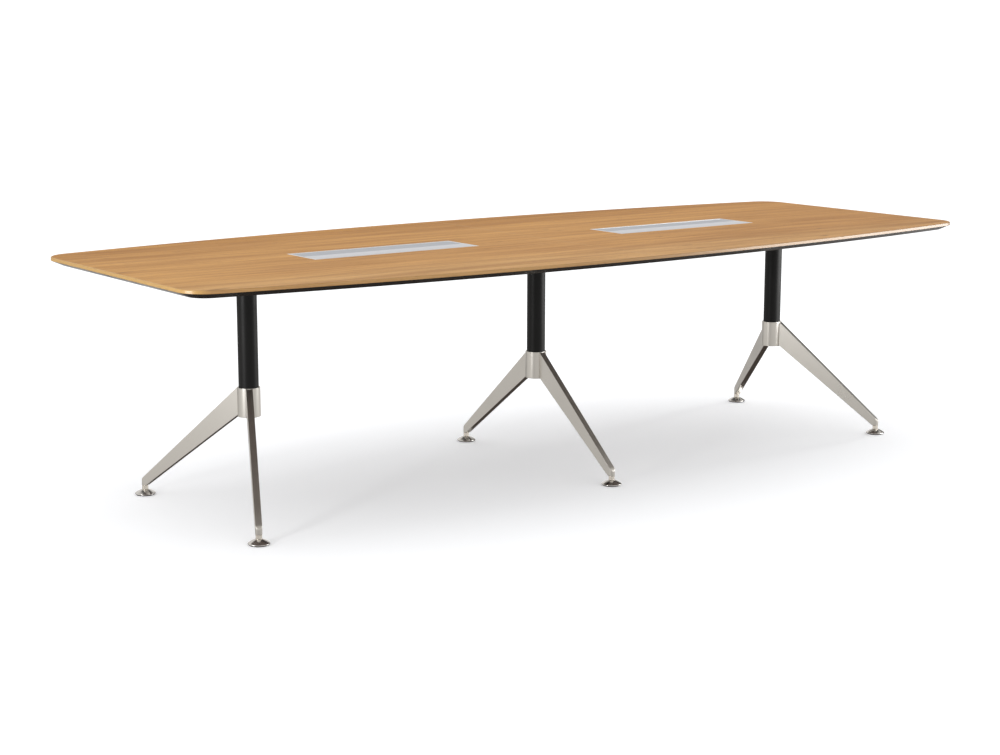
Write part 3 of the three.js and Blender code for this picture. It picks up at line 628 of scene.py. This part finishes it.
# Joint plates: two flat steel plates, zinc plated, that tie the halves of the top together from below.
# Each lies across the joint near a long side, with two wood screws into each half.
JOINT_Y, JOINT_HALF, JOINT_THICKNESS = 370 * MM, (80 * MM, 30 * MM), 4 * MM
for place, sign in PLACES:
    y = sign * JOINT_Y
    plate = skin(f"{place}_joint_plate", [plate_sheet(0, y, JOINT_HALF, JOINT_THICKNESS)], [zinc])
    fit(plate, "frame", "zinc_steel", f"{place}_joint_plate")
    screws = [screw_sheet(dx * MM, y, UNDERSIDE - JOINT_THICKNESS) for dx in (-62, -28, 28, 62)]
    fit(skin(f"{place}_joint_screws", screws, [zinc]), "frame", "zinc_steel")


# Columns: 60 mm steel tube with 2 mm walls, cut square and powder coated satin black.
# Each stands in its collar and is welded to the top plate.
COLUMN_FOOT, COLUMN_BORE = 293 * MM, 28 * MM
tube_profile = [(COLUMN_BORE, COLUMN_FOOT), (29.6 * MM, COLUMN_FOOT), (COLUMN_RADIUS, COLUMN_FOOT + 0.4 * MM),
                (COLUMN_RADIUS, 430 * MM), (COLUMN_RADIUS, 575 * MM), (COLUMN_RADIUS, PLATE_FOOT),
                (COLUMN_BORE, PLATE_FOOT), (COLUMN_BORE, COLUMN_FOOT)]
for side, x in PEDESTALS:
    column = skin(f"{side}_column", [turned_sheet(tube_profile, 96, (x, 0, 0))], [column_coat])
    fit(column, "frame", "black_powder_coat", f"{side}_column")


# Collars: turned aluminium sleeves round the foot of each column, with a seat inside that it stands on.
# They are plated in satin nickel, which is a warm grey and mirrors its surroundings softly.
COLLAR_RADIUS = 34.5 * MM


def satin_nickel_finish(name, code, roughness):
    """Nickel plate on fine-blasted metal: a soft even grain of about 0.1 mm, drawn at 1 mm, under warm
    grey."""
    finish = blank(name)
    where = node(finish, "TexCoord", {}, output="Object")
    grain = node(finish, "TexNoise", {"Vector": where, "Scale": 1000.0, "Detail": 2.0})
    patch = node(finish, "TexNoise", {"Vector": where, "Scale": 9.0, "Detail": 3.0})
    gloss = node(finish, "MapRange", {"Value": patch, 1: 0.3, 2: 0.7,
                                      3: roughness - 0.03, 4: roughness + 0.03})
    pale = tuple(min(1.0, c * 1.04) for c in srgb(code)[:3]) + (1.0,)
    tint = node(finish, "Mix", {0: grain, 6: srgb(code), 7: pale}, output=2, data_type="RGBA")
    relief = node(finish, "Bump", {"Strength": 0.02, "Distance": 0.1 * MM, "Height": grain})
    shader = node(finish, "BsdfPrincipled",
                  {"Base Color": tint, "Metallic": 1.0, "Roughness": gloss, "Normal": relief})
    node(finish, "OutputMaterial", {"Surface": shader})
    return finish


satin_nickel = satin_nickel_finish("satin_nickel_plate", "#D1CEC8", 0.3)
# up the outside with its rounded edges, down the socket to the seat, and through the hole to the cap's
# recess
collar_profile = MM * np.array([(28, 287), (33.7, 287), (34.27, 287.23), (34.5, 287.8), (34.5, 330),
                                (34.5, 374.2), (34.27, 374.77), (33.7, 375), (30.7, 375), (30.4, 374.7),
                                (30.4, 293), (24, 293), (24, 290), (28, 290), (28, 287)])
for side, x in PEDESTALS:
    collar = skin(f"{side}_collar", [turned_sheet(collar_profile, 128, (x, 0, 0))], [satin_nickel])
    fit(collar, "frame", "satin_nickel", f"{side}_collar")


# End caps: moulded black plastic discs with a shallow dished face.
# They are pressed into the collars from below and close the columns against dust.
moulded_black = blank("moulded_black_plastic")
where = node(moulded_black, "TexCoord", {}, output="Object")
# a spark-eroded mould leaves a leathery grain of about 0.4 mm, drawn at 1.2 mm
grain = node(moulded_black, "TexVoronoi", {"Vector": where, "Scale": 850.0})
gloss = node(moulded_black, "MapRange", {"Value": grain, 1: 0.0, 2: 0.8, 3: 0.42, 4: 0.58})
tint = node(moulded_black, "Mix", {0: grain, 6: srgb("#1D1D1E"), 7: srgb("#141415")},
            output=2, data_type="RGBA")
relief = node(moulded_black, "Bump", {"Strength": 0.25, "Distance": 0.2 * MM, "Height": grain})
shader = node(moulded_black, "BsdfPrincipled",
              {"Base Color": tint, "Roughness": gloss, "IOR": 1.46, "Normal": relief})
node(moulded_black, "OutputMaterial", {"Surface": shader})
cap_profile = MM * np.array([(0, 288.4), (18, 288.1), (23, 287.7), (25, 287.5), (27, 287.5), (27.6, 288.1),
                             (27.6, 290), (0, 290)])
for side, x in PEDESTALS:
    cap = skin(f"{side}_end_cap", [turned_sheet(cap_profile, 64, (x, 0, 0))], [moulded_black])
    fit(cap, "frame", "black_plastic", f"{side}_end_cap")


# Legs: flat tapered castings 20 mm thick, deep at the collar and shallow at the toe, which is rounded off.
# They are satin nickel like the collars and bolted to them. The neck under each toe is turned bright and
# bored for the foot, and its paler plate is partly a painted reflection of the pale floor.
LEG_REACH, LEG_HALF = 398 * MM, 10 * MM
LEG_ROOT = COLLAR_RADIUS + 0.25 * MM
HEEL = LEG_REACH - 9.5 * MM
TOE = LEG_REACH + LEG_HALF
ROOT_TOP, ROOT_FOOT = 373.5 * MM, 288 * MM
TOE_TOP, TOE_FOOT = 48 * MM, 30 * MM
EDGE_ROUND, TOE_ROUND = 1.4 * MM, 4 * MM
SPLAY = np.radians(26)


def leg_sheets():
    """A leg along +X. Its upper and lower edges are straight lines from root to toe, and each section is a
    rectangle between them with rounded corners. Stations run from the root, which is hollowed to the
    collar's circle, to the toe, where the thickness follows a half circle down to nothing and the upper
    edge a quarter ellipse. A turned neck stands below."""
    upper_slope = (ROOT_TOP - TOE_TOP) / (TOE - COLLAR_RADIUS)
    lower_slope = (ROOT_FOOT - TOE_FOOT) / (HEEL - COLLAR_RADIUS)
    arc = np.linspace(0, np.pi / 2, 6)
    sides = np.linspace(-1, 1, 7)[1:-1]
    t_upper = np.r_[LEG_HALF - EDGE_ROUND * (1 - np.cos(arc)), sides[::-1] * (LEG_HALF - EDGE_ROUND),
                    -(LEG_HALF - EDGE_ROUND * (1 - np.cos(arc[::-1])))]
    fall = np.r_[EDGE_ROUND * (1 - np.sin(arc)), 0 * sides, EDGE_ROUND * (1 - np.sin(arc[::-1]))]
    across = np.r_[t_upper, -t_upper, t_upper[:1]]
    is_upper = np.r_[np.ones(len(fall)), np.zeros(len(fall)), 1]
    fall = np.r_[fall, fall, fall[:1]]
    bend = np.linspace(0, np.pi / 2, 10)[1:]
    straight = np.r_[LEG_ROOT + (HEEL - LEG_ROOT) * np.linspace(0, 1, 13), LEG_REACH]
    hollow = np.sqrt(LEG_ROOT ** 2 - across ** 2) - LEG_ROOT
    reach = np.r_[straight, LEG_REACH + LEG_HALF * np.sin(bend)][:, None] + 0 * across
    reach[0] += hollow
    narrowing = np.r_[np.ones(len(straight)), np.cos(bend)][:, None]
    width = narrowing * across
    top = TOE_TOP + upper_slope * (TOE - reach) - TOE_ROUND * (1 - narrowing)
    bottom = TOE_FOOT + lower_slope * np.clip(HEEL - reach, 0, None)
    height = np.where(is_upper == 1, top - fall, bottom + fall)
    blade = np.stack([reach, width, height], -1)
    middle = blade[:1].copy()
    middle[..., 1] = 0
    middle[..., 0] = LEG_ROOT
    face = np.concatenate([middle, blade[:1]])
    neck = MM * np.array([(0, 24), (5.4, 24), (5.4, 17.3), (8.9, 17.3), (9.32, 17.5), (9.5, 17.9), (9.5, 29),
                          (9.62, 29.6), (9.9, 30.05), (9, 31), (0, 31)])
    points, uv, _ = turned_sheet(neck, 64, (LEG_REACH, 0, 0))
    return [(blade, blade[..., [0, 2]], 0), (face, face[..., 1:], 0), (points, uv, 1)]


def turned_to(points, direction, x):
    """Points turned about the Z axis to a leg's direction and moved to its pedestal."""
    cos, sin = np.cos(direction), np.sin(direction)
    return points @ np.array([[cos, sin, 0], [-sin, cos, 0], [0, 0, 1]]) + np.array([x, 0, 0])


# the necks' paler plate is partly a painted reflection of the pale floor
bright_nickel_and_painted_reflection = satin_nickel_finish("bright_nickel_plate", "#EFE9DF", 0.25)
LEGS = [(side, place, x, sign * (np.pi / 2 + lean))
        for (side, x), lean in zip(PEDESTALS, (SPLAY, 0.0, -SPLAY)) for place, sign in PLACES]
for side, place, x, direction in LEGS:
    sheets = [(turned_to(p, direction, x), uv, number) for p, uv, number in leg_sheets()]
    leg = skin(f"{side}_{place}_leg", sheets, [satin_nickel, bright_nickel_and_painted_reflection])
    fit(leg, "frame", "satin_nickel", f"{side}_leg_{place}")


# Leg bolts: zinc-plated steel bolts with socket heads, one to a leg.
# They are put in from inside the column, through the collar and into the leg.
BOLT_HEIGHT = 320 * MM
bolt_profile = MM * np.array([(0, 20), (2.6, 20), (2.6, 17.5), (7.4, 17.5), (8, 18.1), (8, 25.5), (5, 25.5),
                              (5, 69), (4, 70), (0, 70)])
for side, place, x, direction in LEGS:
    points, uv, number = turned_sheet(bolt_profile, 24, (0, 0, BOLT_HEIGHT), lying=True)
    bolt = skin(f"{side}_{place}_leg_bolt", [(turned_to(points, direction, x), uv, number)], [zinc])
    fit(bolt, "frame", "zinc_steel", f"{side}_leg_bolt_{place}")


# Feet: a steel stem with a metric thread of 1.5 mm pitch screws into the leg's neck and carries a chromed
# glide. The glide is spun from steel, a slightly swelling cone with a round rim, and a rubber pad lies
# under it.
FOOT_TOP = 17 * MM
PITCH = 1.5 * MM
STEM_TOP = FOOT_TOP + 26 * MM


def thread_sheet(place):
    """A right-handed screw: the radius is a triangle wave of the height less one pitch for each turn. The
    top is chamfered, and both ends are closed by a middle point."""
    turn = np.linspace(0, 2 * np.pi, 33)
    height = np.linspace(FOOT_TOP - 0.5 * MM, STEM_TOP, 144)
    phase = (height[:, None] - FOOT_TOP) / PITCH - turn / (2 * np.pi)
    wave = 2 * np.abs(phase - np.floor(phase + 0.5))
    radius = (4.2 + 0.75 * wave) * MM
    radius = np.minimum(radius, (STEM_TOP - height)[:, None] + 3.6 * MM)
    around = radius * np.cos(turn), radius * np.sin(turn)
    points = np.stack(np.broadcast_arrays(*around, height[:, None]), -1)
    middles = points[[0, -1]] * np.array([0, 0, 1])
    points = np.concatenate([middles[:1], points, middles[1:]])
    return points + np.array(place), points[..., :2], 0


chrome = blank("bright_chrome_plate")
where = node(chrome, "TexCoord", {}, output="Object")
# polished plate is a near mirror, with only a faint haze in patches of a few millimetres
haze = node(chrome, "TexNoise", {"Vector": where, "Scale": 160.0, "Detail": 2.0})
gloss = node(chrome, "MapRange", {"Value": haze, 1: 0.3, 2: 0.7, 3: 0.13, 4: 0.18})
shader = node(chrome, "BsdfPrincipled", {"Base Color": srgb("#E2E0DD"), "Metallic": 1.0, "Roughness": gloss})
node(chrome, "OutputMaterial", {"Surface": shader})

rubber = blank("moulded_black_rubber")
where = node(rubber, "TexCoord", {}, output="Object")
# moulded rubber is matt, with a bloom that lightens it in patches of a few millimetres
bloom = node(rubber, "TexNoise", {"Vector": where, "Scale": 240.0, "Detail": 3.0})
tint = node(rubber, "Mix", {0: bloom, 6: srgb("#121212"), 7: srgb("#232221")}, output=2, data_type="RGBA")
gloss = node(rubber, "MapRange", {"Value": bloom, 1: 0.3, 2: 0.7, 3: 0.7, 4: 0.85})
shader = node(rubber, "BsdfPrincipled", {"Base Color": tint, "Roughness": gloss, "IOR": 1.5})
node(rubber, "OutputMaterial", {"Surface": shader})

up = np.linspace(0, 1, 15)
rim = MM * np.array([(0, 2.5), (30.2, 2.5), (31.2, 2.7), (31.8, 3.3), (32, 4), (31.85, 4.8)])
cone = MM * np.stack([31.4 - 21.9 * up, 5.4 + 11.6 * (1.4 * up - 0.4 * up ** 2)], -1)
glide_profile = np.concatenate([rim, cone, [(0, FOOT_TOP)]])
pad_profile = MM * np.array([(0, 0), (28.2, 0), (28.8, 0.25), (29, 0.8), (29, 2.5), (0, 2.5)])
for side, place, x, direction in LEGS:
    at = x + LEG_REACH * np.cos(direction), LEG_REACH * np.sin(direction), 0
    foot_body, pad_body = f"{side}_{place}_foot", f"{side}_{place}_pad"
    stem = skin(f"{side}_{place}_stem", [thread_sheet(at)], [zinc])
    fit(stem, foot_body, "zinc_steel", f"{side}_stem_{place}")
    glide = skin(f"{side}_{place}_glide", [turned_sheet(glide_profile, 96, at)], [chrome])
    fit(glide, foot_body, "chrome", f"{side}_glide_{place}")
    pad = skin(f"{side}_{place}_pad", [turned_sheet(pad_profile, 64, at)], [rubber])
    fit(pad, pad_body, "black_rubber", f"{side}_pad_{place}")


# Studio: a pale floor in an even white light. Shiny pieces mirror a room instead, bright at eye level,
# greyer above and dark brown below, with a few darker patches. Two softboxes show in reflections only, and
# two keys light only what is dull.
scene = bpy.context.scene
floor_paint = blank("white_studio_floor")
shader = node(floor_paint, "BsdfPrincipled",
              {"Base Color": srgb("#F1F2F4"), "Specular IOR Level": 0.0,
               "Emission Color": srgb("#FFFFFF"), "Emission Strength": 0.2})
node(floor_paint, "OutputMaterial", {"Surface": shader})
FLOOR_HALF = 400.0
flat = FLOOR_HALF * np.array([[[-1, -1, 0], [1, -1, 0]], [[-1, 1, 0], [1, 1, 0]]])
floor = skin("studio_floor", [(flat, flat[..., :2], 0)], [floor_paint])
floor.visible_glossy = False

world = bpy.data.worlds.new("studio")
world.use_nodes = True
world.node_tree.nodes.clear()
world.cycles.sampling_method = "NONE"
toward = node(world, "TexCoord", {}, output="Generated")
height = node(world, "SeparateXYZ", {0: toward}, output="Z")
above = node(world, "MapRange", {"Value": height, 1: 0.4, 2: 0.8, 3: 0.0, 4: 1.0},
             interpolation_type="SMOOTHSTEP")
below = node(world, "MapRange", {"Value": height, 1: -0.15, 2: -0.5, 3: 0.0, 4: 1.0},
             interpolation_type="SMOOTHSTEP")
eye_level, floor_brown, ceiling = (0.82, 0.80, 0.775, 1.0), (0.07, 0.057, 0.05, 1.0), (0.66, 0.64, 0.61, 1.0)
room = node(world, "Mix", {0: below, 6: eye_level, 7: floor_brown}, output=2, data_type="RGBA")
room = node(world, "Mix", {0: above, 6: room, 7: ceiling}, output=2, data_type="RGBA")
# patches of the room: the direction they lie in, the cosines at their rim and core, and their gain at the
# core
for aim, rim, core, gain in (((-0.92, -0.39, 0.0), 0.9, 0.99, 0.75), ((-0.966, 0.26, 0.0), 0.88, 0.99, 1.15),
                             ((-0.139, 0.99, 0.0), 0.9, 0.99, 0.5), ((0.9, 0.29, 0.32), 0.93, 0.985, 0.12),
                             ((0.3, 0.4, 0.866), 0.85, 0.95, 0.15)):
    patch = node(world, "VectorMath", {0: toward, 1: aim}, output="Value", operation="DOT_PRODUCT")
    patch = node(world, "MapRange", {"Value": patch, 1: rim, 2: core, 3: 1.0, 4: gain},
                 interpolation_type="SMOOTHSTEP")
    room = node(world, "VectorMath", {0: room, "Scale": patch}, operation="SCALE")
# the even light is weaker from behind the camera
camera_side = (-0.45, -0.89, 0.0)
behind = node(world, "VectorMath", {0: toward, 1: camera_side}, output="Value", operation="DOT_PRODUCT")
behind = node(world, "MapRange", {"Value": behind, 1: 0.2, 2: 0.85, 3: 0.0, 4: 0.35},
              interpolation_type="SMOOTHSTEP")
even = node(world, "Mix", {0: behind, 6: (1.2, 1.2, 1.2, 1.0), 7: (0.5, 0.5, 0.5, 1.0)},
            output=2, data_type="RGBA")
in_mirror = node(world, "LightPath", {}, output="Is Glossy Ray")
tint = node(world, "Mix", {0: in_mirror, 6: even, 7: room}, output=2, data_type="RGBA")
sky = node(world, "Background", {"Color": tint})
node(world, "OutputWorld", {"Surface": sky})
scene.world = world

for name, place, aim, size, power, mirrored in (
        ("left_softbox", (-3.0, -0.4, 0.8), (-1.07, 0, 0.6), (0.8, 1.2), 21.0, True),
        ("right_softbox", (2.7, -1.45, 0.85), (1.0, 0, 0.6), (2.1, 1.3), 62.0, True),
        ("left_key", (-4.4, -1.6, 0.8), (-1.2, 0, 0.0), (0.4, 0.4), 36.0, False),
        ("right_key", (4.6, 0.4, 0.8), (1.2, 0, 0.0), (0.4, 0.4), 30.0, False)):
    lamp = bpy.data.lights.new(name, "AREA")
    lamp.shape, lamp.energy = "RECTANGLE", power
    lamp.size, lamp.size_y = size
    light = bpy.data.objects.new(name, lamp)
    light.location = place
    light.visible_glossy = mirrored
    light.visible_diffuse = not mirrored
    light.visible_camera = False
    beam = np.array(aim) - np.array(place)
    light.rotation_euler = (np.arctan2(np.hypot(*beam[:2]), -beam[2]), 0,
                            np.arctan2(beam[1], beam[0]) - np.pi / 2)
    scene.collection.objects.link(light)

lens = bpy.data.cameras.new("camera")
lens.lens, lens.sensor_width, lens.clip_end = 69.29, 36.0, 1000.0
camera = bpy.data.objects.new("camera", lens)
camera.location = (-3.7898, -4.9659, 1.4619)
camera.rotation_euler = (np.pi / 2 - 0.1863, -0.0014, -0.6327)
scene.collection.objects.link(camera)
scene.camera = camera
scene.view_settings.view_transform = "Standard"
